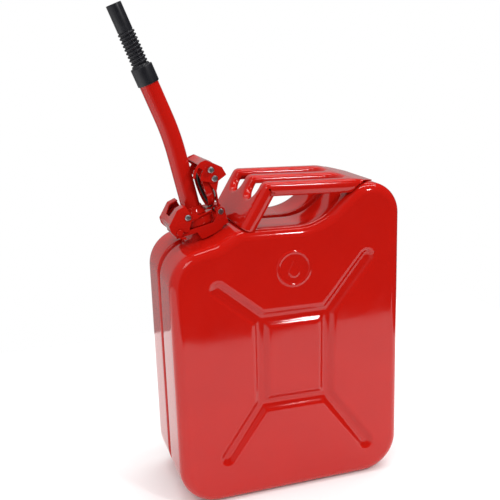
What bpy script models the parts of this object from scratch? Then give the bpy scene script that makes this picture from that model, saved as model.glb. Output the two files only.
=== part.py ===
"""Twenty-litre steel safety can with carry handle, flip cap and a clamped pouring spout."""
import math

import bmesh
import bpy
from mathutils import Matrix, Vector

MM = 0.001

# can body (millimetres): X runs front to rear, near side is -Y, the base stands on Z = 0
BODY_LENGTH = 345.0
FRONT = -BODY_LENGTH / 2
REAR = BODY_LENGTH / 2
BODY_WIDTH = 165.0
HUMP_HEIGHT = 456.0
SHEET = 1.0
EDGE_RADIUS = 15.0
SEAM_DEPTH = 6.0
SEAM_HALF = 6.0
SEAM_SLOPE = 2.5
SEAM_GAP = 0.15
OUTLINE = (
    (FRONT, 0.0, 56.0),
    (REAR, 0.0, 56.0),
    (REAR, HUMP_HEIGHT, 47.0),
    (108.2, HUMP_HEIGHT, 45.0),
    (45.4, 403.3, 76.0),
    (-71.0, 406.5, 30.0),
    (-103.0, 389.0, 40.0),
    (FRONT, 374.1, 52.0),
)

# pressed grooves of the broad faces: centre lines in X, Z
FRAME = ((-46.0, 276.0), (55.0, 275.0), (53.0, 145.0), (-47.0, 147.0))
ARM_ENDS = ((-106.5, 327.0), (118.0, 350.0), (118.0, 55.0), (-102.0, 70.0))
GROOVE_HALF = 13.5
GROOVE_FLOOR = 3.5
GROOVE_DEPTH = 5.5
EMBLEM = (5.0, 345.5)
EMBLEM_RADIUS = 24.0

# carrying handle
HANDLE_HALF = 78.0
HANDLE_SHEET = 1.6
HANDLE_FLANGE = 11.0
HANDLE_PATH = ((-68.3, 409.0, 0.0), (-31.0, 469.0, 11.0), (104.0, 463.5, 60.0),
               (128.0, 458.6, 60.0), (142.0, 455.1, 0.0))
SLOT_CENTRE = 34.0
SLOT_HALF = 20.5
SLOT_FRONT = -46.0
SLOT_REAR = 96.0

# filler neck: everything of the closure is laid out round its mouth
MOUTH = (-115.7, 0.0, 411.0)
NECK_LEAN = 12.0
NECK_RADIUS = 25.0
NECK_WALL = 1.5
NECK_LENGTH = 36.0
EAR_IN = 28.5
EAR_OUT = 31.0
LATCH_AT = (-31.0, -3.0)
LATCH_RADIUS = 3.2
HINGE_AT = (34.0, 8.0)
HINGE_RADIUS = 2.6
PIVOT_AT = (-14.0, 14.0)
LOCK_AT = (PIVOT_AT[0] - 15.0, PIVOT_AT[1] - 3.0)
LOCK_SEAT = -37.8
CUP_RADIUS = 27.6
CUP_BORE = 26.2
CAP_OPEN = 86.0
LEVER_IN = 32.0
LEVER_OUT = 34.3

# spout
TUBE_RADIUS = 13.5
TUBE_WALL = 1.2
BEND_AT = (-141.8, 0.0, 533.8)
COLLAR_AT = (-169.3, 0.0, 605.4)
BEND_RADIUS = 356.0
NOZZLE_LEAN = 21.1
COLLAR_RADIUS = 15.3
COLLAR_LENGTH = 25.0
BELLOWS_START = 28.3
BELLOWS_END = 76.0
RIBS = 9
TIP_RADIUS = 10.6
TIP_BORE = 8.2
TIP_END = 112.0

NECK = Matrix.Translation(Vector(MOUTH) * MM) @ Matrix.Rotation(math.radians(-NECK_LEAN), 4, "Y")
NOZZLE = Matrix.Translation(Vector(COLLAR_AT) * MM) @ Matrix.Rotation(math.radians(-NOZZLE_LEAN), 4, "Y")


def shift(x, z):
    return Matrix.Translation(Vector((x, 0.0, z)) * MM)


def collection(name):
    made = bpy.data.collections.new(name)
    bpy.context.scene.collection.children.link(made)
    return made


def linear(value):
    return value / 12.92 if value <= 0.04045 else ((value + 0.055) / 1.055) ** 2.4


def material(name, colour, metallic, roughness):
    made = bpy.data.materials.new(name)
    made.use_nodes = True
    shader = made.node_tree.nodes["Principled BSDF"]
    rgb = [linear(int(colour[i:i + 2], 16) / 255.0) for i in (0, 2, 4)]
    shader.inputs["Base Color"].default_value = (*rgb, 1.0)
    shader.inputs["Metallic"].default_value = metallic
    shader.inputs["Roughness"].default_value = roughness
    made.diffuse_color = (*rgb, 1.0)
    return made


def finish(bm, name, place):
    bmesh.ops.recalc_face_normals(bm, faces=bm.faces[:])
    if bm.calc_volume(signed=True) < 0.0:
        bmesh.ops.reverse_faces(bm, faces=bm.faces[:])
    mesh = bpy.data.meshes.new(name)
    bm.to_mesh(mesh)
    bm.free()
    obj = bpy.data.objects.new(name, mesh)
    obj.matrix_world = place
    return obj


def keep(obj, paint):
    obj.data.materials.append(paint)
    PARTS.objects.link(obj)
    return obj


def cutter(obj):
    CUTTERS.objects.link(obj)
    obj.hide_render = True
    obj.display_type = "WIRE"
    return obj


def combine(obj, other, operation):
    mod = obj.modifiers.new(operation.title(), "BOOLEAN")
    mod.operation = operation
    mod.solver = "EXACT"
    mod.object = cutter(other)
    return obj


def stack(name, loops, place=Matrix()):
    """Extrude one outline through a list of equally long outlines, all in millimetres."""
    bm = bmesh.new()
    ring = [bm.verts.new(Vector(p) * MM) for p in loops[0]]
    bm.faces.new(ring)
    for loop in loops[1:]:
        edges = [bm.edges.get((ring[i - 1], ring[i])) for i in range(len(ring))]
        made = bmesh.ops.extrude_edge_only(bm, edges=edges)["geom"]
        sides = [g for g in made if isinstance(g, bmesh.types.BMFace)]
        above = {}
        for side in sides:
            for edge in side.edges:
                low = [v for v in edge.verts if v in ring]
                if len(low) == 1:
                    above[low[0]] = edge.other_vert(low[0])
        ring = [above[v] for v in ring]
        for vert, point in zip(ring, loop):
            vert.co = Vector(point) * MM
    bm.faces.new(ring)
    return finish(bm, name, place)


def slab(name, outline, y0, y1, place=Matrix()):
    """Prism of an outline in X, Z between two values of Y."""
    return stack(name, [[(x, y, z) for x, z in outline] for y in (y0, y1)], place)


def plate(name, outline, z0, z1, place=Matrix()):
    """Prism of an outline in X, Y between two heights."""
    return stack(name, [[(x, y, z) for x, y in outline] for z in (z0, z1)], place)


def turned(name, profile, place=Matrix(), steps=32):
    """Closed profile in X, Z turned round the Z axis."""
    mesh = bpy.data.meshes.new(name)
    count = len(profile)
    edges = [(i, (i + 1) % count) for i in range(count)]
    mesh.from_pydata([(r * MM, 0.0, z * MM) for r, z in profile], edges, [])
    obj = bpy.data.objects.new(name, mesh)
    obj.matrix_world = place
    mod = obj.modifiers.new("Screw", "SCREW")
    mod.steps = steps
    mod.render_steps = steps
    mod.use_merge_vertices = True
    mod.merge_threshold = 0.00001
    return obj


def pivot(name, place, children, parent=None):
    """Empty on a joint's axis that carries the pieces which turn or slide there."""
    empty = bpy.data.objects.new(name, None)
    empty.empty_display_size = 0.02
    empty.matrix_world = place
    PARTS.objects.link(empty)
    for child in [bpy.data.objects[child] for child in children]:
        child.parent = empty
        child.matrix_parent_inverse = place.inverted()
    if parent:
        empty.parent = parent[0]
        empty.matrix_parent_inverse = parent[1].inverted()
    return empty, place


def rod(name, radius, y0, y1, at, place, steps=16):
    """Round bar along Y through a point of the X, Z plane."""
    ring = [(at[0] + radius * math.cos(2 * math.pi * i / steps),
             at[1] + radius * math.sin(2 * math.pi * i / steps)) for i in range(steps)]
    return slab(name, ring, y0, y1, place)


def rounded(corners, density=9.0, closed=True):
    """Polygon whose corners (x, z, radius) are replaced by arcs."""
    points = []
    count = len(corners)
    for i, (x, z, radius) in enumerate(corners):
        here = Vector((x, z))
        if radius <= 0.0 or (not closed and i in (0, count - 1)):
            points.append((x, z))
            continue
        back = (Vector(corners[i - 1][:2]) - here).normalized()
        on = (Vector(corners[(i + 1) % count][:2]) - here).normalized()
        half = math.acos(max(-1.0, min(1.0, back.dot(on)))) / 2
        centre = here + (back + on).normalized() * (radius / math.sin(half))
        start = here + back * (radius / math.tan(half)) - centre
        end = here + on * (radius / math.tan(half)) - centre
        sweep = math.pi - 2 * half
        sign = 1.0 if start.x * end.y - start.y * end.x > 0 else -1.0
        steps = max(2, round(math.degrees(sweep) / density))
        for k in range(steps + 1):
            angle = sign * sweep * k / steps
            turn = Vector((start.x * math.cos(angle) - start.y * math.sin(angle),
                           start.x * math.sin(angle) + start.y * math.cos(angle)))
            points.append(tuple(centre + turn))
    return points


def normals(points, closed=True):
    """Right-hand normal of every point of a polyline."""
    out = []
    count = len(points)
    for i in range(count):
        before = points[i - 1] if closed or i > 0 else points[i]
        after = points[(i + 1) % count] if closed or i < count - 1 else points[i]
        along = (Vector(points[i]) - Vector(before)).normalized()
        onward = (Vector(after) - Vector(points[i])).normalized()
        way = (along + onward).normalized()
        stretch = 1.0 / max(0.5, math.sqrt(max(0.0, (1.0 + along.dot(onward)) / 2))) \
            if along.length and onward.length else 1.0
        out.append(Vector((way.y, -way.x)) * stretch)
    return out


def offset(points, distance, closed=True):
    """Polyline moved sideways: to its right for a positive distance."""
    return [tuple(Vector(p) + n * distance) for p, n in zip(points, normals(points, closed))]


def strip(path, thickness, density=12.0):
    """Outline of a bent strip whose left side follows the path."""
    line = rounded(path, density, closed=False)
    return line + offset(line, thickness, closed=False)[::-1]


def circle(x, y, radius, steps=24, start=0.0, sweep=360.0):
    count = steps if sweep == 360.0 else steps + 1
    return [(x + radius * math.cos(math.radians(start + sweep * i / steps)),
             y + radius * math.sin(math.radians(start + sweep * i / steps))) for i in range(count)]


def meet(a, b):
    """Crossing of two lines, each a point and a direction."""
    (p, d), (q, e) = a, b
    t = ((q.x - p.x) * e.y - (q.y - p.y) * e.x) / (d.x * e.y - d.y * e.x)
    return tuple(p + d * t)


def beside(start, end, distance):
    """Line parallel to the one from start to end, to its left for a positive distance."""
    along = (Vector(end) - Vector(start)).normalized()
    return Vector(start) + Vector((-along.y, along.x)) * distance, along


def groove_outline(half):
    """Edge of the pressed frame and its four arms, at a distance from their centre lines."""
    points = []
    for i, (corner, tip) in enumerate(zip(FRAME, ARM_ENDS)):
        before = beside(FRAME[i - 1], corner, half)
        after = beside(corner, FRAME[(i + 1) % 4], half)
        heading = math.degrees(math.atan2(tip[1] - corner[1], tip[0] - corner[0]))
        points.append(meet(before, beside(corner, tip, half)))
        points += circle(*tip, half, 8, heading + 90.0, -180.0)
        points.append(meet(beside(corner, tip, -half), after))
    return points


def panel_outline(half):
    sides = [beside(FRAME[i], FRAME[(i + 1) % 4], -half) for i in range(4)]
    return [meet(sides[i - 1], sides[i]) for i in range(4)]


# ---------------------------------------------------------------- can body

def body_half(name, side, sheet):
    """Solid half of the can; a positive sheet gives the room inside the pressing."""
    line = rounded(OUTLINE)
    reach = EDGE_RADIUS - sheet
    flat = BODY_WIDTH / 2 - EDGE_RADIUS
    levels = [(-2.0 if sheet else SEAM_GAP, SEAM_DEPTH + sheet)]
    levels.append((SEAM_HALF - 1.0 + sheet, SEAM_DEPTH + sheet))
    levels.append((SEAM_HALF + SEAM_SLOPE * 0.5 + sheet, 1.0 + sheet))
    levels.append((SEAM_HALF + SEAM_SLOPE + sheet, sheet))
    for i in range(5):
        turn = math.radians(22.5 * i)
        levels.append((flat + reach * math.sin(turn), sheet + reach * (1.0 - math.cos(turn))))
    loops = []
    for y, inset in levels:
        loops.append([(x, side * y, z) for x, z in offset(line, -inset)])
    half = stack(name, loops)
    spread = sheet * math.tan(math.atan2(GROOVE_DEPTH, GROOVE_HALF - GROOVE_FLOOR) / 2)
    slope = (GROOVE_HALF - GROOVE_FLOOR) / GROOVE_DEPTH
    face = BODY_WIDTH / 2 - sheet
    high, low = side * (face + 2.0), side * (face - GROOVE_DEPTH)
    wide = [(x, high, z) for x, z in groove_outline(GROOVE_HALF + spread + 2.0 * slope)]
    deep = [(x, low, z) for x, z in groove_outline(GROOVE_FLOOR + spread)]
    groove = stack(name + "_groove", [wide, deep])
    top = [(x, side * (face + 4.0), z) for x, z in panel_outline(GROOVE_HALF + spread + 4.0 * slope)]
    foot = [(x, side * (face - GROOVE_DEPTH - 1.0), z)
            for x, z in panel_outline(GROOVE_FLOOR + spread - slope)]
    combine(groove, stack(name + "_panel", [top, foot]), "DIFFERENCE")
    return combine(half, groove, "DIFFERENCE")


def shell(name, side):
    half = body_half(name, side, 0.0)
    ring = turned(name + "_ring", [(EMBLEM_RADIUS + 2.0 * math.cos(t), 1.4 * math.sin(t))
                                   for t in [math.radians(a) for a in range(90, -270, -90)]], steps=28)
    ring.matrix_world = emblem_place(side)
    combine(half, ring, "UNION")
    drop = circle(0.0, -3.5, 8.0, 14, -210.0, 240.0) + [(0.0, 13.5)]
    combine(half, plate(name + "_drop", drop, -0.6, 1.0, emblem_place(side)), "UNION")
    combine(half, body_half(name + "_room", side, SHEET), "DIFFERENCE")
    hole = turned(name + "_hole", [(0.0, 20.0), (NECK_RADIUS + 0.3, 20.0),
                                   (NECK_RADIUS + 0.3, -70.0), (0.0, -70.0)], NECK)
    combine(half, hole, "DIFFERENCE")
    return keep(half, RED)


def emblem_place(side):
    spot = Vector((EMBLEM[0], side * BODY_WIDTH / 2, EMBLEM[1])) * MM
    turn = Matrix.Rotation(math.radians(90.0), 4, "X")
    flip = Matrix.Rotation(math.radians(180.0), 4, "Z") if side > 0 else Matrix()
    return Matrix.Translation(spot) @ flip @ turn


def seam_weld():
    """Bead that joins the two halves at the bottom of the channel; it stops at the neck."""
    line = rounded(OUTLINE)
    outer = offset(line, -(SEAM_DEPTH - 2.3))
    inner = offset(line, -(SEAM_DEPTH - 0.3))
    bead = slab("seam_weld", outer, -1.6, 1.6)
    combine(bead, slab("seam_inside", inner, -4.0, 4.0), "DIFFERENCE")
    cut = turned("seam_neck_cut", [(0.0, 20.0), (NECK_RADIUS + 1.5, 20.0),
                                   (NECK_RADIUS + 1.5, -70.0), (0.0, -70.0)], NECK)
    combine(bead, cut, "DIFFERENCE")
    return keep(bead, RED)


# ---------------------------------------------------------------- handle

def handle_plan(inset):
    half = HANDLE_HALF - inset
    rear = 142.4
    tail = [(108.0 - 0.5 * inset, half), (rear, 37.0 - inset)]
    far = [(-90.0, half)] + tail
    return far + [(x, -y) for x, y in reversed(far)]


def slot(side, grow):
    half = SLOT_HALF + grow
    y = side * SLOT_CENTRE
    front = SLOT_FRONT - grow
    rear = SLOT_REAR + grow
    corners = [(front, y - half, 17.0), (rear, y - half, 16.0),
               (rear, y + half, 16.0), (front, y + half, 17.0)]
    return rounded(corners, 18.0)


def handle_line(depth):
    """Side line of the handle's sheet, measured inwards from its top face."""
    bare = offset([(x, z) for x, z, _ in HANDLE_PATH], depth, closed=False)
    turns = [max(radius - depth, 2.0) for _, _, radius in HANDLE_PATH]
    return rounded([(x, z, r) for (x, z), r in zip(bare, turns)], 12.0, closed=False)


def carry_handle():
    """Pressed sheet with three channel-shaped bars between two flanged slots."""
    top = handle_line(0.0)
    skin = handle_line(HANDLE_SHEET)
    lower = [p for p in handle_line(HANDLE_FLANGE) if p[0] < 100.0] + [p for p in skin if p[0] > 120.0]
    band = slab("carry_handle", top + lower[::-1], -HANDLE_HALF - 4.0, HANDLE_HALF + 4.0)
    combine(band, plate("handle_plan", handle_plan(0.0), 407.0, 500.0), "INTERSECT")
    start = (skin[0][0] - 6.0, skin[0][1] - 10.0)
    ground = [(start[0] + 45.0, start[1]), (118.0, 420.0), (150.0, 446.0)]
    room = slab("handle_room", [start] + skin[1:] + ground[::-1], -HANDLE_HALF, HANDLE_HALF)
    combine(room, plate("handle_room_plan", handle_plan(HANDLE_SHEET), 380.0, 500.0), "INTERSECT")
    for side in (-1, 1):
        combine(room, plate(f"rim_{side}", slot(side, HANDLE_SHEET), 390.0, 500.0), "DIFFERENCE")
    combine(band, room, "DIFFERENCE")
    for side in (-1, 1):
        combine(band, plate(f"slot_{side}", slot(side, 0.0), 380.0, 505.0), "DIFFERENCE")
    return keep(band, RED)


# ---------------------------------------------------------------- neck and bracket

def filler_neck():
    out = NECK_RADIUS
    bore = out - NECK_WALL
    profile = [(bore + 0.6, 0.0), (out + 0.2, 0.0), (out + 0.9, -0.7), (out + 0.9, -2.2),
               (out, -3.0), (out, -NECK_LENGTH), (bore, -NECK_LENGTH), (bore, -0.8)]
    return keep(turned("filler_neck", profile, NECK), RED)


def closure_bracket():
    """Stamped collar round the neck with an ear each side for the latch bar and hinge pin."""
    outline = rounded([(-37.0, -EAR_OUT, 3.0), (41.0, -EAR_OUT, 3.0),
                       (41.0, EAR_OUT, 3.0), (-37.0, EAR_OUT, 3.0)], 30.0)
    base = plate("closure_bracket", outline, -11.0, -8.5, NECK)
    hole = turned("bracket_hole", [(0.0, 20.0), (NECK_RADIUS + 0.3, 20.0),
                                   (NECK_RADIUS + 0.3, -30.0), (0.0, -30.0)], NECK)
    combine(base, hole, "DIFFERENCE")
    ear = [(-37.0, -11.0), (-36.6, -3.0)] + circle(*LATCH_AT, 5.6, 8, 180.0, -150.0)
    ear += [(-24.0, -4.0), (20.0, -4.0), (27.0, 4.0)]
    ear += circle(*HINGE_AT, 6.6, 10, 170.0, -190.0)
    ear += [(41.0, -8.0), (41.0, -11.0), (33.0, -13.0), (30.0, -16.0), (20.0, -19.6),
            (4.0, -22.4), (-2.0, -22.4), (-6.0, -11.0)]
    for side in (-1, 1):
        y0, y1 = sorted((side * EAR_IN, side * EAR_OUT))
        combine(base, slab(f"ear_{side}", ear, y0, y1, NECK), "UNION")
    for name, at, radius in (("latch", LATCH_AT, LATCH_RADIUS), ("hinge", HINGE_AT, HINGE_RADIUS)):
        combine(base, rod(f"{name}_eye", radius + 0.3, -40.0, 40.0, at, NECK), "DIFFERENCE")
    return keep(base, RED)


def headed_pin(name, radius, head, reach, thick, at, place, paint):
    """Pin along Y with a flat head at each end, its origin on its own axis."""
    profile = [(0.0, reach + thick), (head, reach + thick), (head, reach), (radius, reach),
               (radius, -reach), (head, -reach), (head, -reach - thick), (0.0, -reach - thick)]
    lie = place @ shift(*at) @ Matrix.Rotation(math.radians(90.0), 4, "X")
    return keep(turned(name, profile, lie, 20), paint)


def breather_tube():
    """Air pipe from the neck up into the hump, which lets the can pour evenly."""
    points = [(-94.6, 0.0, 403.2), (-87.5, 0.0, 370.0), (60.0, 0.0, 378.0), (104.0, 0.0, 396.0),
              (128.0, 0.0, 434.0)]
    return keep(tube_along("breather_tube", points, 4.0, 3.0, (0.0, 14.0, 40.0, 40.0, 0.0)), STEEL)


def tube_along(name, points, radius, bore, bends, around=4):
    """Hollow round tube on a bent centre line: two bevelled curves, one cut from the other."""
    line = bend_points([Vector(p) for p in points], bends)
    outer = swept(name, line, radius, around)
    lead = (line[0] - line[1]).normalized() * 3.0
    tail = (line[-1] - line[-2]).normalized() * 3.0
    inner = swept(name + "_bore", [line[0] + lead] + line[1:-1] + [line[-1] + tail], bore, around)
    return combine(outer, inner, "DIFFERENCE")


def bend_points(points, bends):
    line = []
    for i, here in enumerate(points):
        if bends[i] <= 0.0:
            line.append(here)
            continue
        back = (points[i - 1] - here).normalized()
        on = (points[i + 1] - here).normalized()
        half = back.angle(on) / 2
        reach = bends[i] / math.tan(half)
        middle = here + (back + on).normalized() * (bends[i] / math.sin(half))
        start = here + back * reach - middle
        end = here + on * reach - middle
        steps = max(3, round(math.degrees(math.pi - 2 * half) / 12.0))
        for k in range(steps + 1):
            line.append(middle + Matrix.Rotation(start.angle(end) * k / steps, 3, start.cross(end)) @ start)
    return line


def swept(name, line, radius, around):
    curve = bpy.data.curves.new(name + "_path", "CURVE")
    curve.dimensions = "3D"
    spline = curve.splines.new("POLY")
    spline.points.add(len(line) - 1)
    for point, at in zip(spline.points, line):
        point.co = (*(at * MM), 1.0)
    curve.bevel_depth = radius * MM
    curve.bevel_resolution = around
    curve.use_fill_caps = True
    holder = bpy.data.objects.new(name + "_path", curve)
    CUTTERS.objects.link(holder)
    mesh = bpy.data.meshes.new_from_object(holder)
    mesh.name = name
    bpy.data.objects.remove(holder)
    bm = bmesh.new()
    bm.from_mesh(mesh)
    bmesh.ops.remove_doubles(bm, verts=bm.verts[:], dist=0.000001)
    return finish(bm, name, Matrix())


# ---------------------------------------------------------------- closure lever, cap and spout base

def lever(name, place):
    """Cam lever: a curved web, and two cheeks whose hooks pass round the latch bar."""
    reach = math.hypot(LATCH_AT[0] - PIVOT_AT[0], LATCH_AT[1] - PIVOT_AT[1])
    inner = reach - LATCH_RADIUS - 0.5
    outer = reach + LATCH_RADIUS + 0.5
    cheek = [(4.5, -4.5), (5.6, 1.0), (4.0, 6.0), (0.5, 17.4), (-11.9, 14.8), (-29.0, -4.0)]
    cheek += circle(0.0, 0.0, outer + 3.4, 5, 203.0, 47.0)
    cheek += circle(0.0, 0.0, outer, 4, 250.0, -34.0) + circle(0.0, 0.0, inner, 5, 216.0, 42.0)
    web = strip([(0.5, 17.4, 0.0), (-11.9, 14.8, 6.0), (-29.0, -4.0, 7.0), (-26.3, -15.5, 0.0)], -1.8)
    arm = slab(name, web, -LEVER_OUT, LEVER_OUT, place)
    gap = [(16.0, -17.0), (16.0, 17.0), (-14.0, 17.0), (-21.5, 11.0), (-21.5, -11.0), (-14.0, -17.0)]
    combine(arm, plate(name + "_notch", gap, -1.0, 30.0, place), "DIFFERENCE")
    for side in (-1, 1):
        y0, y1 = sorted((side * LEVER_IN, side * LEVER_OUT))
        combine(arm, slab(f"{name}_cheek_{side}", cheek, y0, y1, place), "UNION")
    combine(arm, rod(name + "_eye", 2.8, -50.0, 50.0, (0.0, 0.0), place), "DIFFERENCE")
    return arm


def clamp(name, place, rear_end):
    """Saddle over a cup with a lug each side that carries the lever's rivets."""
    outline = rounded([(-24.0, -EAR_OUT, 3.0), (4.0, -EAR_OUT, 3.0), (rear_end, -20.5, 3.0),
                       (rear_end, 20.5, 3.0), (4.0, EAR_OUT, 3.0), (-24.0, EAR_OUT, 3.0)], 30.0)
    base = plate(name, outline, 9.6, 11.8, place)
    lug = [(-24.0, 9.6), (-34.0, 6.0), (-36.0, 9.0), (-34.0, 13.0), (-22.0, 19.0), (-14.0, 20.0),
           (-7.0, 18.0), (4.0, 11.8), (4.0, 9.6), (-8.0, 5.5)]
    for side in (-1, 1):
        y0, y1 = sorted((side * (EAR_IN + 0.2), side * EAR_OUT))
        combine(base, slab(f"{name}_lug_{side}", lug, y0, y1, place), "UNION")
    combine(base, rod(name + "_eye", 2.8, -50.0, 50.0, PIVOT_AT, place), "DIFFERENCE")
    return base


def rivet(name, side, place):
    profile = [(0.0, 8.2), (3.0, 8.2), (4.6, 7.2), (4.6, 6.4), (2.5, 6.4), (2.5, 0.0), (0.0, 0.0)]
    lie = place @ shift(*PIVOT_AT) @ Matrix.Rotation(math.radians(-90.0 * side), 4, "X")
    seat = lie @ Matrix.Translation((0.0, 0.0, 28.2 * MM))
    return keep(turned(name, profile, seat, 16), STEEL)


def gasket(name, place):
    profile = [(18.5, 2.7), (25.8, 2.7), (25.8, 0.3), (18.5, 0.3)]
    return keep(turned(name, profile, place), RUBBER)


def cap():
    swing = NECK @ shift(*HINGE_AT) @ Matrix.Rotation(math.radians(CAP_OPEN), 4, "Y")
    place = swing @ shift(-HINGE_AT[0], -HINGE_AT[1])
    profile = [(0.0, 9.3), (19.0, 9.3), (24.5, 8.8), (27.0, 7.0), (CUP_RADIUS, 5.0),
               (CUP_RADIUS, -3.0), (CUP_BORE, -3.0), (CUP_BORE, 3.0), (18.0, 3.0),
               (17.0, 7.6), (0.0, 7.6)]
    keep(turned("cap_cup", profile, place), RED)
    gasket("cap_gasket", place)
    saddle = clamp("cap_carrier", place, 22.0)
    arm = strip([(12.0, 11.8, 0.0), (34.0, 11.8, 3.0), (38.5, 8.0, 0.0)], 2.2)
    for side in (-1, 1):
        y0, y1 = sorted((side * 13.5, side * 19.5))
        combine(saddle, slab(f"cap_arm_{side}", arm, y0, y1, place), "UNION")
        combine(saddle, rod(f"cap_knuckle_{side}", 5.2, y0, y1, HINGE_AT, place), "UNION")
    combine(saddle, rod("cap_hinge_eye", HINGE_RADIUS + 0.3, -30.0, 30.0, HINGE_AT, place), "DIFFERENCE")
    hole = rod("cap_lock_eye", 2.3, -40.0, -20.0, LOCK_AT, place)
    combine(saddle, hole, "DIFFERENCE")
    keep(saddle, RED)
    axis = place @ shift(*PIVOT_AT)
    arm = lever("cap_lever", axis)
    at = (LOCK_AT[0] - PIVOT_AT[0], LOCK_AT[1] - PIVOT_AT[1])
    combine(arm, rod("cap_lever_lock_eye", 2.3, -40.0, -20.0, at, axis), "DIFFERENCE")
    keep(arm, RED)
    for side, word in ((-1, "near"), (1, "far")):
        rivet(f"cap_rivet_{word}", side, place)
    profile = [(0.0, 7.0), (3.2, 7.0), (4.4, 5.8), (4.4, 0.4), (3.4, 0.0), (2.0, 0.0),
               (2.0, -5.6), (1.2, -6.4), (0.0, -6.4)]
    turn = Matrix.Rotation(math.radians(90.0), 4, "X")
    spot = place @ shift(*LOCK_AT) @ Matrix.Translation((0.0, LOCK_SEAT * MM, 0.0)) @ turn
    keep(turned("locking_pin", profile, spot, 16), STEEL)
    moving = ["cap_cup", "cap_gasket", "cap_carrier", "cap_rivet_near", "cap_rivet_far"]
    hinge = pivot("cap_hinge", swing, moving)
    latch = pivot("cap_lever_pivot", axis, ["cap_lever"], hinge)
    pivot("locking_pin_slide", spot, ["locking_pin"], latch)


def spout_base():
    profile = [(14.0, 21.0), (15.4, 21.0), (16.4, 18.0), (19.6, 9.3), (25.6, 8.8), (27.0, 7.6),
               (CUP_RADIUS, 6.0), (CUP_RADIUS, -4.0), (CUP_BORE, -4.0), (CUP_BORE, 3.0),
               (12.0, 3.0), (12.0, 4.5), (13.8, 4.5), (13.8, 20.8)]
    keep(turned("spout_cup", profile, NECK), RED)
    gasket("spout_gasket", NECK)
    saddle = clamp("spout_clamp", NECK, 25.0)
    hole = turned("spout_clamp_hole", [(0.0, 30.0), (20.2, 30.0), (20.2, -5.0), (0.0, -5.0)], NECK)
    combine(saddle, hole, "DIFFERENCE")
    hook = strip([(20.8, 11.9, 0.0), (25.0, 11.9, 4.0), (30.0, 13.8, 4.0), (41.0, 13.8, 3.0),
                  (41.0, 2.2, 3.0), (31.0, 2.2, 0.0)], 2.4)
    combine(saddle, slab("spout_hook", hook, -9.0, 9.0, NECK), "UNION")
    keep(saddle, RED)
    axis = NECK @ shift(*PIVOT_AT)
    keep(lever("spout_lever", axis), RED)
    pivot("spout_lever_pivot", axis, ["spout_lever"])
    for side, word in ((-1, "near"), (1, "far")):
        rivet(f"spout_rivet_{word}", side, NECK)


# ---------------------------------------------------------------- spout tube and nozzle

def spout_tube():
    axis = (Vector(BEND_AT) - Vector(MOUTH)).normalized()
    start = Vector(MOUTH) + axis * 4.9
    along = (Vector(COLLAR_AT) - Vector(BEND_AT)).normalized()
    end = Vector(COLLAR_AT) + along * 20.0
    line = [start, Vector(BEND_AT), end]
    return keep(tube_along("spout_tube", line, TUBE_RADIUS, TUBE_RADIUS - TUBE_WALL,
                           (0.0, BEND_RADIUS, 0.0), 6), RED)


def nozzle():
    top = COLLAR_LENGTH
    profile = [(TIP_BORE, 28.0), (12.0, 28.0), (12.6, 27.4), (12.6, top + 0.4), (COLLAR_RADIUS - 0.8, top),
               (COLLAR_RADIUS, top - 0.8), (COLLAR_RADIUS, 1.5), (COLLAR_RADIUS - 0.6, 0.0),
               (TUBE_RADIUS + 0.3, 0.0), (TUBE_RADIUS + 0.3, 20.4), (TIP_BORE, 21.5)]
    keep(turned("nozzle_collar", profile, NOZZLE), BLACK)
    pitch = (BELLOWS_END - BELLOWS_START) / RIBS
    outer = []
    for i in range(RIBS):
        foot = BELLOWS_END - i * pitch
        outer += [(9.9, foot), (11.7, foot - 0.30 * pitch)]
        outer += [(11.7, foot - 0.55 * pitch), (9.9, foot - 0.85 * pitch)]
    outer.append((9.9, BELLOWS_START))
    half = (BELLOWS_START + BELLOWS_END) / 2
    flex = NOZZLE @ shift(0.0, half)
    ring = [(TIP_BORE, BELLOWS_END)] + outer + [(TIP_BORE, BELLOWS_START)]
    keep(turned("nozzle_bellows", [(r, z - half) for r, z in ring], flex, 16), BLACK)
    start = BELLOWS_END + 0.3
    profile = [(TIP_BORE + 0.4, TIP_END), (TIP_RADIUS - 0.6, TIP_END), (TIP_RADIUS, TIP_END - 0.8),
               (TIP_RADIUS, start), (TIP_BORE, start), (TIP_BORE, TIP_END - 0.8)]
    keep(turned("nozzle_tip", [(r, z - half) for r, z in profile], flex), BLACK)
    pivot("nozzle_bend", flex, ["nozzle_tip"])



for old in list(bpy.data.objects):
    bpy.data.objects.remove(old, do_unlink=True)

PARTS = collection("safety_gas_can")
CUTTERS = collection("cutters")
RED = material("gloss_red_enamel", "C41A12", 0.0, 0.12)
STEEL = material("zinc_plated_steel", "C9CBCD", 1.0, 0.3)
RUBBER = material("black_nitrile_rubber", "1B1B1B", 0.0, 0.7)
BLACK = material("black_flexible_plastic", "1E1E24", 0.0, 0.4)

shell("near_shell", -1)
shell("far_shell", 1)
seam_weld()
carry_handle()
filler_neck()
closure_bracket()
breather_tube()
headed_pin("latch_bar", LATCH_RADIUS, 4.6, 35.4, 1.6, LATCH_AT, NECK, RED)
headed_pin("hinge_pin", HINGE_RADIUS, 4.2, 31.4, 1.6, HINGE_AT, NECK, STEEL)
cap()
spout_base()
spout_tube()
nozzle()
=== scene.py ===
"""Looks for a pressed steel safety can: fine pressings, closure, pouring spout, finishes and studio."""
import math

import bmesh
import bpy
from bpy.props import FloatProperty, FloatVectorProperty, PointerProperty
from mathutils import Matrix, Vector, noise


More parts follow.
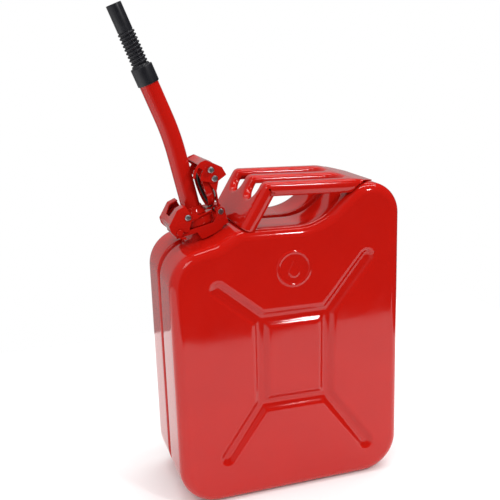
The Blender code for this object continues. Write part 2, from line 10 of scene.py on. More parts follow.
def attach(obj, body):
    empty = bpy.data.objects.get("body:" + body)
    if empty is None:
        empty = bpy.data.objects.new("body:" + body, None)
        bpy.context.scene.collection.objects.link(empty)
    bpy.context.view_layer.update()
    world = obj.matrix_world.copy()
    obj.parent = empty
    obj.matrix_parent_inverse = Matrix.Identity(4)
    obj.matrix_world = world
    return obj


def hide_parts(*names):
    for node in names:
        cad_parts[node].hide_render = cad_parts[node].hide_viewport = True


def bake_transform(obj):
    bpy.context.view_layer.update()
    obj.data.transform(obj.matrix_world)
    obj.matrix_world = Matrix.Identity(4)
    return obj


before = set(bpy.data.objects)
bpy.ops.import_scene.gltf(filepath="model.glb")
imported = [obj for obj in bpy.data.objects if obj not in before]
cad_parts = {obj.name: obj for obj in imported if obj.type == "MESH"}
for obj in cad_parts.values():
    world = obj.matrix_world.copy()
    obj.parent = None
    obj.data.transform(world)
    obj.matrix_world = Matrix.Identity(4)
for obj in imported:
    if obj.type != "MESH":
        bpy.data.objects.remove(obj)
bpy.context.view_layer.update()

bl_info = {
    "name": "Safety Can Looks",
    "version": (1, 0, 0),
    "blender": (4, 5, 0),
    "location": "View3D > Sidebar > Safety Can",
    "description": "Builds the fine pieces, finishes and studio of a pressed steel safety can",
    "category": "Object",
}

MM = 0.001

# side outline of the body in X, Z with corner radii, all in millimetres
FRONT, REAR, HUMP = -172.5, 172.5, 456.0
OUTLINE = ((FRONT, 0.0, 56.0), (REAR, 0.0, 56.0), (REAR, HUMP, 47.0), (108.2, HUMP, 45.0),
           (45.4, 403.3, 76.0), (-71.0, 406.5, 30.0), (-103.0, 389.0, 40.0), (FRONT, 374.1, 52.0))
SEAM_GAP = 0.15
SEAM_DEPTH = 6.0

# pressed star: corners of the square frame and tips of its arms in X, Z
STAR = ((-46.0, 276.0), (55.0, 275.0), (53.0, 145.0), (-47.0, 147.0))
TIPS = ((-106.5, 327.0), (118.0, 350.0), (118.0, 55.0), (-102.0, 70.0))
EMBLEM = (5.0, 345.5)
EMBLEM_REACH = 32.0
RING_HALF = 3.2
RING_HEIGHT = 1.6
DROP_HEIGHT = 1.3
# sides of the cells that the broad face is cut into before it is pressed
PANEL_CELL = 8.0
STAR_CELL = 2.0
EMBLEM_CELL = 1.0

# handle: side line of its top face, foot to tail, and its slots
HANDLE_PATH = ((-68.3, 409.0, 0.0), (-31.0, 469.0, 11.0), (104.0, 463.5, 60.0),
               (128.0, 458.6, 60.0), (142.4, 455.0, 0.0))
HANDLE_HALF = 78.0
TAIL_HALF = 37.0
TAIL_START = 108.0
RIM_FROM = 66.0
SLOT_CENTRE = 34.0
SLOT_HALF = 20.5
SLOT_ENDS = (-46.0, 96.0)
SLOT_REAR_ROUND = 14.0
# the rolled edges fade out over this length, from this far ahead of the tail
FADE_LENGTH = 22.0
FADE_AHEAD = 14.0

# closure frame: origin in the middle of the neck's mouth, third axis up the neck
MOUTH = (-115.7, 0.0, 411.0)
NECK_LEAN = 12.0
PIVOT_AT = (-14.0, 14.0)
HINGE_AT = (34.0, 8.0)
LATCH_AT = (-31.0, -3.0)
CAP_OPEN = 86.0
LOCK_SEAT = -37.8
RIVET_SEAT = 28.2
HEAD_HEIGHT = 1.6

# spout centre line and nozzle
BEND_AT = (-141.8, 0.0, 533.8)
COLLAR_AT = (-169.3, 0.0, 605.4)
BEND_RADIUS = 356.0
TUBE_FOOT = 4.9
TUBE_IN_COLLAR = 20.0
SPOUT_WALL = 1.2
NOZZLE_LEAN = 21.1

NECK = Matrix.Translation(Vector(MOUTH) * MM) @ Matrix.Rotation(math.radians(-NECK_LEAN), 4, "Y")
NOZZLE = Matrix.Translation(Vector(COLLAR_AT) * MM) @ Matrix.Rotation(math.radians(-NOZZLE_LEAN), 4, "Y")
CAP = (NECK @ Matrix.Translation(Vector((HINGE_AT[0], 0.0, HINGE_AT[1])) * MM)
       @ Matrix.Rotation(math.radians(CAP_OPEN), 4, "Y")
       @ Matrix.Translation(Vector((-HINGE_AT[0], 0.0, -HINGE_AT[1])) * MM))


# ---------------------------------------------------------------- colours and finishes

def linear(value):
    return value / 12.92 if value <= 0.04045 else ((value + 0.055) / 1.055) ** 2.4


def colour(code):
    """Linear colour of an sRGB hex code."""
    return tuple(linear(int(code[i:i + 2], 16) / 255.0) for i in (0, 2, 4))


def add_node(tree, kind, settings=None, links=None):
    """Add a node; settings fill its options and open sockets, links join it to other outputs."""
    made = tree.nodes.new(kind)
    for key, value in (settings or {}).items():
        if isinstance(key, str) and hasattr(made, key):
            setattr(made, key, value)
        else:
            made.inputs[key].default_value = value
    for key, output in (links or {}).items():
        tree.links.new(output, made.inputs[key])
    return made


def new_finish(name):
    """Empty node material with its surface shader and Object coordinates."""
    finish = bpy.data.materials.new(name)
    finish.use_nodes = True
    tree = finish.node_tree
    tree.nodes.clear()
    place = add_node(tree, "ShaderNodeTexCoord").outputs["Object"]
    shader = add_node(tree, "ShaderNodeBsdfPrincipled")
    add_node(tree, "ShaderNodeOutputMaterial", links={"Surface": shader.outputs["BSDF"]})
    return finish, tree, place, shader


def per_metre(millimetres):
    """Texture scale whose features are this many millimetres across."""
    return 1000.0 / millimetres


def between(tree, factor, low, high):
    """Value that runs from low to high as factor runs from 0.3 to 0.7."""
    return add_node(tree, "ShaderNodeMapRange",
                    {"From Min": 0.3, "From Max": 0.7, "To Min": low, "To Max": high},
                    {"Value": factor}).outputs["Result"]


def tinted(tree, factor, first, second):
    """Colour that drifts between two tones."""
    mix = add_node(tree, "ShaderNodeMix", {"data_type": "RGBA"})
    mix.inputs[6].default_value = (*first, 1.0)
    mix.inputs[7].default_value = (*second, 1.0)
    tree.links.new(factor, mix.inputs[0])
    return mix.outputs[2]


def gloss_enamel(colours):
    """Stoved alkyd enamel on drawn steel: a deep, wet red with a faint orange-peel ripple."""
    finish, tree, place, shader = new_finish("gloss_stoved_enamel")
    cloud = add_node(tree, "ShaderNodeTexNoise", {"Scale": per_metre(70.0), "Detail": 2.0}, {"Vector": place})
    base = tinted(tree, cloud.outputs["Fac"], colours.enamel, colours.enamel_deep)
    # orange peel of sprayed enamel is about 2 mm across; nibs of dust are under 1 mm
    peel = add_node(tree, "ShaderNodeTexNoise", {"Scale": per_metre(4.0), "Detail": 1.0}, {"Vector": place})
    nibs = add_node(tree, "ShaderNodeTexVoronoi", {"Scale": per_metre(14.0)}, {"Vector": place})
    nib = add_node(tree, "ShaderNodeMapRange",
                   {"From Min": 0.0, "From Max": 0.035, "To Min": 1.0, "To Max": 0.0},
                   {"Value": nibs.outputs["Distance"]})
    ripple = add_node(tree, "ShaderNodeBump", {"Strength": 0.05, "Distance": 0.0002},
                      {"Height": peel.outputs["Fac"]})
    speck = add_node(tree, "ShaderNodeBump", {"Strength": 0.12, "Distance": 0.0001},
                     {"Height": nib.outputs["Result"], "Normal": ripple.outputs["Normal"]})
    haze = add_node(tree, "ShaderNodeTexNoise", {"Scale": per_metre(25.0), "Detail": 3.0}, {"Vector": place})
    tree.links.new(base, shader.inputs["Base Color"])
    tree.links.new(between(tree, haze.outputs["Fac"], 0.05, 0.11), shader.inputs["Roughness"])
    tree.links.new(speck.outputs["Normal"], shader.inputs["Normal"])
    shader.inputs["IOR"].default_value = 1.46
    shader.inputs["Coat Weight"].default_value = 0.05
    shader.inputs["Coat Roughness"].default_value = 0.03
    return finish


def zinc_plate(colours):
    """Bright zinc plate on a turned pin: cool silver with fine turning marks and a blue-grey drift."""
    finish, tree, place, shader = new_finish("bright_zinc_plate")
    drift = add_node(tree, "ShaderNodeTexNoise", {"Scale": per_metre(6.0), "Detail": 2.0}, {"Vector": place})
    base = tinted(tree, drift.outputs["Fac"], colours.zinc, colours.zinc_dull)
    # turning marks follow the pins' common Y direction, 0.4 mm apart
    stretch = add_node(tree, "ShaderNodeMapping", {"Scale": (1.0, 6.0, 1.0)}, {"Vector": place})
    marks = add_node(tree, "ShaderNodeTexNoise", {"Scale": per_metre(2.4), "Detail": 3.0},
                     {"Vector": stretch.outputs["Vector"]})
    ripple = add_node(tree, "ShaderNodeBump", {"Strength": 0.15, "Distance": 0.0001},
                      {"Height": marks.outputs["Fac"]})
    tree.links.new(base, shader.inputs["Base Color"])
    tree.links.new(between(tree, marks.outputs["Fac"], 0.3, 0.45), shader.inputs["Roughness"])
    tree.links.new(ripple.outputs["Normal"], shader.inputs["Normal"])
    shader.inputs["Metallic"].default_value = 1.0
    return finish


def nitrile_rubber(colours):
    """Moulded nitrile rubber: near black, dull, with a dusty bloom and a fine grain."""
    finish, tree, place, shader = new_finish("moulded_nitrile_rubber")
    bloom = add_node(tree, "ShaderNodeTexNoise", {"Scale": per_metre(9.0), "Detail": 4.0}, {"Vector": place})
    grain = add_node(tree, "ShaderNodeTexNoise", {"Scale": per_metre(0.7), "Detail": 2.0}, {"Vector": place})
    ripple = add_node(tree, "ShaderNodeBump", {"Strength": 0.25, "Distance": 0.0001},
                      {"Height": grain.outputs["Fac"]})
    base = tinted(tree, bloom.outputs["Fac"], colours.rubber, colours.rubber_bloom)
    tree.links.new(base, shader.inputs["Base Color"])
    tree.links.new(between(tree, bloom.outputs["Fac"], 0.62, 0.8), shader.inputs["Roughness"])
    tree.links.new(ripple.outputs["Normal"], shader.inputs["Normal"])
    return finish


def flexible_plastic(colours):
    """Blow-moulded flexible PVC: blue-black with a satin gloss and slight flow marks."""
    finish, tree, place, shader = new_finish("blow_moulded_pvc")
    flow = add_node(tree, "ShaderNodeTexNoise", {"Scale": per_metre(12.0), "Detail": 3.0}, {"Vector": place})
    grain = add_node(tree, "ShaderNodeTexNoise", {"Scale": per_metre(1.2), "Detail": 2.0}, {"Vector": place})
    ripple = add_node(tree, "ShaderNodeBump", {"Strength": 0.12, "Distance": 0.0001},
                      {"Height": grain.outputs["Fac"]})
    base = tinted(tree, flow.outputs["Fac"], colours.plastic, colours.plastic_worn)
    tree.links.new(base, shader.inputs["Base Color"])
    tree.links.new(between(tree, flow.outputs["Fac"], 0.3, 0.42), shader.inputs["Roughness"])
    tree.links.new(ripple.outputs["Normal"], shader.inputs["Normal"])
    return finish


def studio_paper(colours):
    """Matt seamless paper: near white with a very faint mottle."""
    finish, tree, place, shader = new_finish("matt_seamless_paper")
    mottle = add_node(tree, "ShaderNodeTexNoise", {"Scale": per_metre(180.0), "Detail": 2.0},
                      {"Vector": place})
    base = tinted(tree, mottle.outputs["Fac"], colours.paper, colours.paper_shade)
    tree.links.new(base, shader.inputs["Base Color"])
    shader.inputs["Roughness"].default_value = 0.9
    return finish


MAKERS = {"red_enamel": gloss_enamel, "zinc_steel": zinc_plate, "nitrile_rubber": nitrile_rubber,
          "black_plastic": flexible_plastic, "paper": studio_paper}


def finish_for(slot):
    """The finish of a record slot, made once."""
    colours = bpy.context.scene.safety_can_colours
    key = f"finish_{slot}"
    found = [m for m in bpy.data.materials if m.get("slot") == key]
    if found:
        return found[0]
    made = MAKERS[slot](colours)
    made["slot"] = key
    return made


# ---------------------------------------------------------------- shapes

def rounded(corners, density=4.0, closed=True):
    """Polygon whose corners (x, z, radius) are replaced by arcs."""
    points = []
    count = len(corners)
    for i, (x, z, radius) in enumerate(corners):
        here = Vector((x, z))
        if radius <= 0.0 or (not closed and i in (0, count - 1)):
            points.append((x, z))
            continue
        back = (Vector(corners[i - 1][:2]) - here).normalized()
        on = (Vector(corners[(i + 1) % count][:2]) - here).normalized()
        half = math.acos(max(-1.0, min(1.0, back.dot(on)))) / 2
        centre = here + (back + on).normalized() * (radius / math.sin(half))
        start = here + back * (radius / math.tan(half)) - centre
        end = here + on * (radius / math.tan(half)) - centre
        sweep = math.pi - 2 * half
        sign = 1.0 if start.x * end.y - start.y * end.x > 0 else -1.0
        steps = max(2, round(math.degrees(sweep) / density))
        for k in range(steps + 1):
            turned_by = Matrix.Rotation(sign * sweep * k / steps, 2)
            points.append(tuple(centre + turned_by @ start))
    return points


def divided(points, longest, closed=True):
    """Polyline whose straight stretches are broken into short pieces."""
    out = []
    for i, here in enumerate(points):
        out.append(here)
        if not closed and i == len(points) - 1:
            break
        onward = Vector(points[(i + 1) % len(points)]) - Vector(here)
        pieces = max(1, math.ceil(onward.length / longest))
        out += [tuple(Vector(here) + onward * (k / pieces)) for k in range(1, pieces)]
    return out


def offset(points, distance, closed=True):
    """Polyline moved to its right by a distance."""
    out = []
    count = len(points)
    for i, here in enumerate(points):
        before = Vector(points[i - 1] if closed or i > 0 else here)
        after = Vector(points[(i + 1) % count] if closed or i < count - 1 else here)
        along = (Vector(here) - before).normalized()
        onward = (after - Vector(here)).normalized()
        way = (along + onward).normalized()
        stretch = 1.0
        if closed or 0 < i < count - 1:
            stretch = max(0.5, math.sqrt(max(0.0, (1.0 + along.dot(onward)) / 2)))
        out.append(tuple(Vector(here) + Vector((way.y, -way.x)) * (distance / stretch)))
    return out


def grow(bm, ring, loop):
    """Extrude a closed ring of vertices once and set the new ring on a loop of points."""
    edges = [bm.edges.get((ring[i - 1], ring[i])) for i in range(len(ring))]
    made = bmesh.ops.extrude_edge_only(bm, edges=edges)["geom"]
    old = set(ring)
    above = {}
    for edge in [g for g in made if isinstance(g, bmesh.types.BMFace)]:
        for side in edge.edges:
            low = [v for v in side.verts if v in old]
            if len(low) == 1:
                above[low[0]] = side.other_vert(low[0])
    fresh = [above[v] for v in ring]
    for vert, point in zip(fresh, loop):
        vert.co = Vector(point)
    return fresh


def ring_of(bm, loop):
    """Closed ring of new vertices and edges."""
    ring = [bm.verts.new(Vector(point)) for point in loop]
    for i in range(len(ring)):
        bm.edges.new((ring[i - 1], ring[i]))
    return ring


def outward(bm):
    """Point a closed solid's faces out of it."""
    bmesh.ops.recalc_face_normals(bm, faces=bm.faces[:])
    if bm.calc_volume(signed=True) < 0.0:
        bmesh.ops.reverse_faces(bm, faces=bm.faces[:])


def piece(bm, name, body, slot, nodes=(), crease=35.0):
    """Finished object: smooth shaded, riding on its body, standing for its solids."""
    mesh = bpy.data.meshes.new(name)
    bm.to_mesh(mesh)
    bm.free()
    mesh.shade_smooth()
    mesh.set_sharp_from_angle(angle=math.radians(crease))
    mesh.materials.append(finish_for(slot))
    made = bpy.data.objects.new(name, mesh)
    bpy.context.scene.collection.objects.link(made)
    if body:
        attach(made, body)
    if nodes:
        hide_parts(*nodes)
    return made


def walled(made, thickness, side=-1.0):
    """Give an open sheet its thickness in millimetres."""
    wall = made.modifiers.new("Sheet", "SOLIDIFY")
    wall.thickness = thickness * MM
    wall.offset = side
    wall.use_even_offset = False
    return made


def turned(profile, place, steps=72):
    """Closed profile in radius and height, in millimetres, spun into a solid of revolution."""
    bm = bmesh.new()
    ring = ring_of(bm, [(r * MM, 0.0, z * MM) for r, z in profile])
    edges = [bm.edges.get((ring[i - 1], ring[i])) for i in range(len(ring))]
    bmesh.ops.spin(bm, geom=ring + edges, cent=(0, 0, 0), axis=(0, 0, 1), angle=math.tau,
                   steps=steps, use_merge=True, use_duplicate=False)
    bmesh.ops.remove_doubles(bm, verts=bm.verts[:], dist=0.000002)
    flat = [f for f in bm.faces if f.calc_area() < 1e-13]
    bmesh.ops.delete(bm, geom=flat, context="FACES_ONLY")
    wires = [e for e in bm.edges if not e.link_faces]
    bmesh.ops.delete(bm, geom=wires, context="EDGES")
    outward(bm)
    bmesh.ops.transform(bm, matrix=place, verts=bm.verts[:])
    return bm


def softened(node, radius, corner=2.2, steps=3, crease=28.0):
    """Copy of a stamped solid: facets joined, corners of its outline rounded, sharp edges broken."""
    bm = bmesh.new()
    bm.from_mesh(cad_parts[node].data)
    bmesh.ops.remove_doubles(bm, verts=bm.verts[:], dist=0.000002)
    bmesh.ops.dissolve_limit(bm, angle_limit=math.radians(0.8), verts=bm.verts[:], edges=bm.edges[:])
    limit = math.radians(crease)
    tall = [e for e in bm.edges if len(e.link_faces) == 2 and e.calc_face_angle() > limit
            and abs((e.verts[1].co - e.verts[0].co).normalized().y) > 0.99]
    bmesh.ops.bevel(bm, geom=tall, offset=corner * MM, offset_type="OFFSET", segments=4,
                    profile=0.5, affect="EDGES", clamp_overlap=True, material=-1)
    bmesh.ops.dissolve_degenerate(bm, edges=bm.edges[:], dist=0.00001)
    sharp = [e for e in bm.edges if len(e.link_faces) == 2 and e.calc_face_angle() > limit]
    bmesh.ops.bevel(bm, geom=sharp, offset=radius * MM, offset_type="OFFSET", segments=steps,
                    profile=0.5, affect="EDGES", clamp_overlap=True, material=-1)
    return bm


# ---------------------------------------------------------------- body

def nearest(x, z, a, b):
    """Distance from a point to the stretch between a and b."""
    start, along = Vector(a), Vector(b) - Vector(a)
    here = Vector((x, z)) - start
    share = max(0.0, min(1.0, here.dot(along) / along.length_squared))
    return (here - along * share).length


def star_distance(x, z):
    """Distance to the centre lines of the pressed star."""
    lines = [(STAR[i], STAR[(i + 1) % 4]) for i in range(4)] + list(zip(STAR, TIPS))
    return min(nearest(x, z, a, b) for a, b in lines)


def smooth_step(value):
    """Share from 0 to 1 that eases in and out."""
    value = max(0.0, min(1.0, value))
    return value * value * (3.0 - 2.0 * value)


def emblem_height(x, z, sizes):
    """Raised ring with a plain drop inside it."""
    dx, dz = x - EMBLEM[0], z - EMBLEM[1]
    away = math.hypot(dx, dz)
    ring = smooth_step(1.0 - abs(away - sizes.emblem_radius / MM) / RING_HALF) * RING_HEIGHT
    drop = 99.0
    for k in range(13):
        share = k / 12.0
        drop = min(drop, math.hypot(dx, dz + 4.5 - 18.0 * share) - 8.0 * (1.0 - share) ** 1.15)
    return max(ring, smooth_step(0.5 - drop / 2.0) * DROP_HEIGHT)


def relief(x, z, sizes):
    """Height of the broad face over its plane, in millimetres."""
    half = sizes.groove_half / MM
    share = (half - star_distance(x, z)) / (half - 2.5)
    height = -sizes.groove_depth / MM * smooth_step(share)
    # a drawn panel is never dead flat: it swells a little and keeps slow waves
    swell = max(0.0, 1.0 - (x / 165.0) ** 2) * max(0.0, 1.0 - ((z - 205.0) / 200.0) ** 2)
    wave = noise.noise(Vector((x, 0.0, z)) / 95.0)
    edge = smooth_step((160.0 - abs(x)) / 30.0) * smooth_step((z - 12.0) / 30.0)
    height += (sizes.panel_swell / MM * swell + 0.35 * wave) * edge
    if math.hypot(x - EMBLEM[0], z - EMBLEM[1]) < EMBLEM_REACH:
        height += emblem_height(x, z, sizes)
    return height


def cut_into_cells(bm, faces, low, high, step):
    """Cut flat faces by evenly spaced planes across X and then across Z."""
    for axis in (0, 2):
        done = []
        for i in range(1, math.ceil((high[axis] - low[axis]) / step)):
            point, normal = Vector(), Vector()
            point[axis] = (low[axis] + step * i) * MM
            normal[axis] = 1.0
            geom = set(faces)
            for face in faces:
                geom.update(face.edges)
                geom.update(face.verts)
            cut = bmesh.ops.bisect_plane(bm, geom=list(geom), dist=1e-7, plane_co=point, plane_no=normal)
            halves = [g for g in cut["geom"] if isinstance(g, bmesh.types.BMFace)]
            faces = [f for f in halves if f.calc_center_median()[axis] > point[axis]]
            done += [f for f in halves if f.calc_center_median()[axis] <= point[axis]]
            if not faces:
                break
        faces = done + faces
    return faces


def near_pressing(sizes):
    """Outer skin of the near half: seam flange, rolled lip, wall, rounded edge and pressed face."""
    line = divided(rounded(OUTLINE, 3.0), 14.0)
    half_width = sizes.body_width / MM / 2
    radius = sizes.edge_radius / MM
    section = rounded([(SEAM_GAP, SEAM_DEPTH, 0.0), (5.6, SEAM_DEPTH, 1.4), (8.2, 0.0, 3.0),
                       (half_width, 0.0, radius), (half_width, radius, 0.0)], 7.5, closed=False)
    bm = bmesh.new()
    loops = [[(x * MM, -y * MM, z * MM) for x, z in offset(line, -inset)]
             for y, inset in divided(section, 12.0, closed=False)]
    ring = ring_of(bm, loops[0])
    for loop in loops[1:]:
        ring = grow(bm, ring, loop)
    panel = bm.faces.new(ring)
    low, high = (FRONT, 0.0, 0.0), (REAR, 0.0, HUMP)
    cells = cut_into_cells(bm, [panel], low, high, PANEL_CELL)
    reach = sizes.groove_half / MM + 6.0

    def by_star(face):
        centre = face.calc_center_median() / MM
        return star_distance(centre.x, centre.z) < reach

    def by_emblem(face):
        centre = face.calc_center_median() / MM
        return math.hypot(centre.x - EMBLEM[0], centre.z - EMBLEM[1]) < EMBLEM_REACH + 4.0

    star = [f for f in cells if by_star(f)]
    emblem = [f for f in cells if by_emblem(f) and not by_star(f)]
    plain = [f for f in cells if not by_star(f) and not by_emblem(f)]
    fine = cut_into_cells(bm, star, low, high, STAR_CELL)
    finest = cut_into_cells(bm, emblem, low, high, EMBLEM_CELL)
    verts = {v for f in plain + fine + finest for v in f.verts}
    for vert in verts:
        vert.co.y -= relief(vert.co.x / MM, vert.co.z / MM, sizes) * MM
    outward_sheet(bm, Vector((0.0, -1.0, 0.0)))
    return bm


def outward_sheet(bm, way):
    """Point an open sheet's faces the way its largest face should look."""
    bmesh.ops.recalc_face_normals(bm, faces=bm.faces[:])
    total = Vector()
    for face in bm.faces:
        total += face.normal * face.calc_area()
    if total.dot(way) < 0.0:
        bmesh.ops.reverse_faces(bm, faces=bm.faces[:])


# ---------------------------------------------------------------- handle

def handle_frames():
    """Top line of the handle as points with the distance run and the outward normal."""
    line = divided(rounded(HANDLE_PATH, 4.0, closed=False), 3.0, closed=False)
    run = 0.0
    out = []
    for i, point in enumerate(line):
        here = Vector(point)
        run += (here - Vector(line[i - 1])).length if i else 0.0
        ahead = Vector(line[min(i + 1, len(line) - 1)]) - Vector(line[max(i - 1, 0)])
        ahead.normalize()
        out.append((run, here, Vector((-ahead.y, ahead.x))))
    return out


def run_at(frames, x):
    """Distance run along the handle where it passes over x."""
    for (s0, p0, _), (s1, p1, _) in zip(frames, frames[1:]):
        if p0.x <= x <= p1.x:
            return s0 + (s1 - s0) * (x - p0.x) / (p1.x - p0.x)
    return frames[-1][0]


def onto_handle(frames, s, y, depth):
    """Place in space of a point of the flat blank, this deep under its top face."""
    s = max(frames[0][0], min(frames[-1][0], s))
    for (s0, p0, n0), (s1, p1, n1) in zip(frames, frames[1:]):
        if s <= s1:
            share = (s - s0) / (s1 - s0)
            spot = p0.lerp(p1, share) - n0.lerp(n1, share).normalized() * depth
            return Vector((spot.x, y, spot.y)) * MM
    return Vector()


def handle_blank(frames, roll):
    """Loops of the flat blank in distance run and Y: its rim first, then its two slots."""
    end = frames[-1][0]
    tail = run_at(frames, TAIL_START)
    half = HANDLE_HALF - roll
    rim = [(0.0, -half, 0.0), (tail, -half, 22.0), (end, -TAIL_HALF, 10.0), (end, TAIL_HALF, 10.0),
           (tail, half, 22.0), (0.0, half, 0.0)]
    loops = [rounded(rim, 6.0)]
    front, rear = (run_at(frames, x) for x in SLOT_ENDS)
    for side in (-1, 1):
        y = side * SLOT_CENTRE
        wide = SLOT_HALF + roll
        corners = [(front - roll, y - wide, wide - 1.0), (rear + roll, y - wide, SLOT_REAR_ROUND + roll),
                   (rear + roll, y + wide, SLOT_REAR_ROUND + roll), (front - roll, y + wide, wide - 1.0)]
        loops.append(rounded(corners, 8.0))
    return loops


def flat_blank(frames, roll):
    """Flat blank with its slots, cut across wherever the handle will bend."""
    bm = bmesh.new()
    for loop in handle_blank(frames, roll):
        ring_of(bm, [(s, y, 0.0) for s, y in divided(loop, 4.0)])
    bmesh.ops.triangle_fill(bm, use_beauty=True, use_dissolve=False, edges=bm.edges[:])
    for s, _, _ in frames[1:-1]:
        geom = [*bm.verts, *bm.edges, *bm.faces]
        bmesh.ops.bisect_plane(bm, geom=geom, dist=1e-4, plane_co=(s, 0, 0), plane_no=(1, 0, 0))
    outward_sheet(bm, Vector((0.0, 0.0, 1.0)))
    return bm


def edge_ways(rim):
    """Place of every vertex of the blank's rim, with the direction that leads off the sheet."""
    away = {}
    for side in rim:
        face = side.link_faces[0]
        along = (side.verts[1].co - side.verts[0].co).normalized()
        across = Vector((along.y, -along.x, 0.0))
        if across.dot(face.calc_center_median() - side.verts[0].co) > 0.0:
            across.negate()
        for vert in side.verts:
            away[vert] = away.get(vert, Vector()) + across
    return {vert: (vert.co.copy(), way.normalized()) for vert, way in away.items()}


def handle_sheet(sizes):
    """Flat blank with two slots, its long edges and slot edges rolled under, then bent to shape."""
    frames = handle_frames()
    roll = sizes.handle_roll / MM
    tail = run_at(frames, TAIL_START)
    bm = flat_blank(frames, roll)
    rim = [e for e in bm.edges if e.is_boundary and not all(v.co.x < 0.01 for v in e.verts)]
    start = edge_ways(rim)
    depth_of = {v: 0.0 for v in bm.verts}
    sink_at = {}
    for vert, (at, _) in start.items():
        depth = sizes.handle_flange if abs(at.y) > RIM_FROM else sizes.slot_depth
        sink_at[vert] = depth / MM * (1.0 - smooth_step((at.x - tail + FADE_AHEAD) / FADE_LENGTH))
    # a quarter turn in six steps, then straight down to the full depth
    turns = [math.radians(15.0 * k) for k in range(1, 7)]
    steps = [(math.sin(a), 1.0 - math.cos(a)) for a in turns] + [(1.0, None)]
    current = {v: v for v in start}
    for out, down in steps:
        made = bmesh.ops.extrude_edge_only(bm, edges=rim)["geom"]
        fresh = {}
        for face in [g for g in made if isinstance(g, bmesh.types.BMFace)]:
            for side in face.edges:
                ends = [v for v in side.verts if v in depth_of]
                if len(ends) == 1:
                    fresh[ends[0]] = side.other_vert(ends[0])
        rim = [g for g in made if isinstance(g, bmesh.types.BMEdge) and g.is_boundary
               and not any(v in depth_of for v in g.verts)]
        current = {first: fresh[last] for first, last in current.items() if last in fresh}
        for first, vert in current.items():
            at, way = start[first]
            vert.co = at + way * (roll * out)
            depth_of[vert] = sink_at[first] if down is None else min(sink_at[first], roll * down)
    for vert in bm.verts:
        vert.co = onto_handle(frames, vert.co.x, vert.co.y, depth_of[vert])
    outward_sheet(bm, Vector((0.0, 0.0, 1.0)))
    return bm


# ---------------------------------------------------------------- spout tube

def centre_line():
    """Spout centre line as points with their directions, in millimetres."""
    mouth, bend, collar = Vector(MOUTH), Vector(BEND_AT), Vector(COLLAR_AT)
    first = (bend - mouth).normalized()
    second = (collar - bend).normalized()
    start = mouth + first * TUBE_FOOT
    end = collar + second * TUBE_IN_COLLAR
    plane = [(start.x, start.z, 0.0), (bend.x, bend.z, BEND_RADIUS), (end.x, end.z, 0.0)]
    return divided(rounded(plane, 0.6, closed=False), 8.0, closed=False)


def tube_skin(line, radius, steps=64):
    """Round skin along a line in X, Z."""
    bm = bmesh.new()
    ring = None
    for i, (x, z) in enumerate(line):
        ahead = Vector(line[min(i + 1, len(line) - 1)]) - Vector(line[max(i - 1, 0)])
        ahead.normalize()
        side = Vector((ahead.y, -ahead.x))
        loop = []
        for k in range(steps):
            a = math.tau * k / steps
            out = side * (radius * math.cos(a))
            loop.append(Vector((x + out.x, radius * math.sin(a), z + out.y)) * MM)
        ring = grow(bm, ring, loop) if ring else ring_of(bm, loop)
    bmesh.ops.recalc_face_normals(bm, faces=bm.faces[:])
    bm.faces.ensure_lookup_table()
    first = bm.faces[0]
    centre = Vector((line[0][0], 0.0, line[0][1])) * MM
    if first.normal.dot(first.calc_center_median() - centre) < 0.0:
        bmesh.ops.reverse_faces(bm, faces=bm.faces[:])
    return bm


# ---------------------------------------------------------------- settings

class SafetyCanSizes(bpy.types.PropertyGroup):
    body_width: FloatProperty(name="Body width", description="Across both broad faces",
                              default=0.165, unit="LENGTH")
    edge_radius: FloatProperty(name="Edge radius", description="Rounding between wall and broad face",
                               default=0.015, unit="LENGTH")
    sheet: FloatProperty(name="Sheet", description="Steel thickness of the body",
                         default=0.001, unit="LENGTH")
    groove_half: FloatProperty(name="Groove half width",
                               description="Centre line to edge of the pressed star",
                               default=0.0138, unit="LENGTH")
    groove_depth: FloatProperty(name="Groove depth", description="Depth of the pressed star",
                                default=0.0055, unit="LENGTH")
    panel_swell: FloatProperty(name="Panel swell", description="Outward crown of the broad face",
                               default=0.0012, unit="LENGTH")
    emblem_radius: FloatProperty(name="Emblem radius", description="Raised ring on the broad face",
                                 default=0.024, unit="LENGTH")
    handle_roll: FloatProperty(name="Handle roll", description="Radius of the handle's rolled edges",
                               default=0.0075, unit="LENGTH")
    handle_flange: FloatProperty(name="Handle flange", description="Depth of the handle's edges",
                                 default=0.0185, unit="LENGTH")
    slot_depth: FloatProperty(name="Slot depth", description="Depth of the slots' rolled edges",
                              default=0.0105, unit="LENGTH")
    handle_sheet: FloatProperty(name="Handle sheet", description="Steel thickness of the handle",
                                default=0.0016, unit="LENGTH")
    tube_radius: FloatProperty(name="Spout radius", description="Outside radius of the spout tube",
                               default=0.0135, unit="LENGTH")


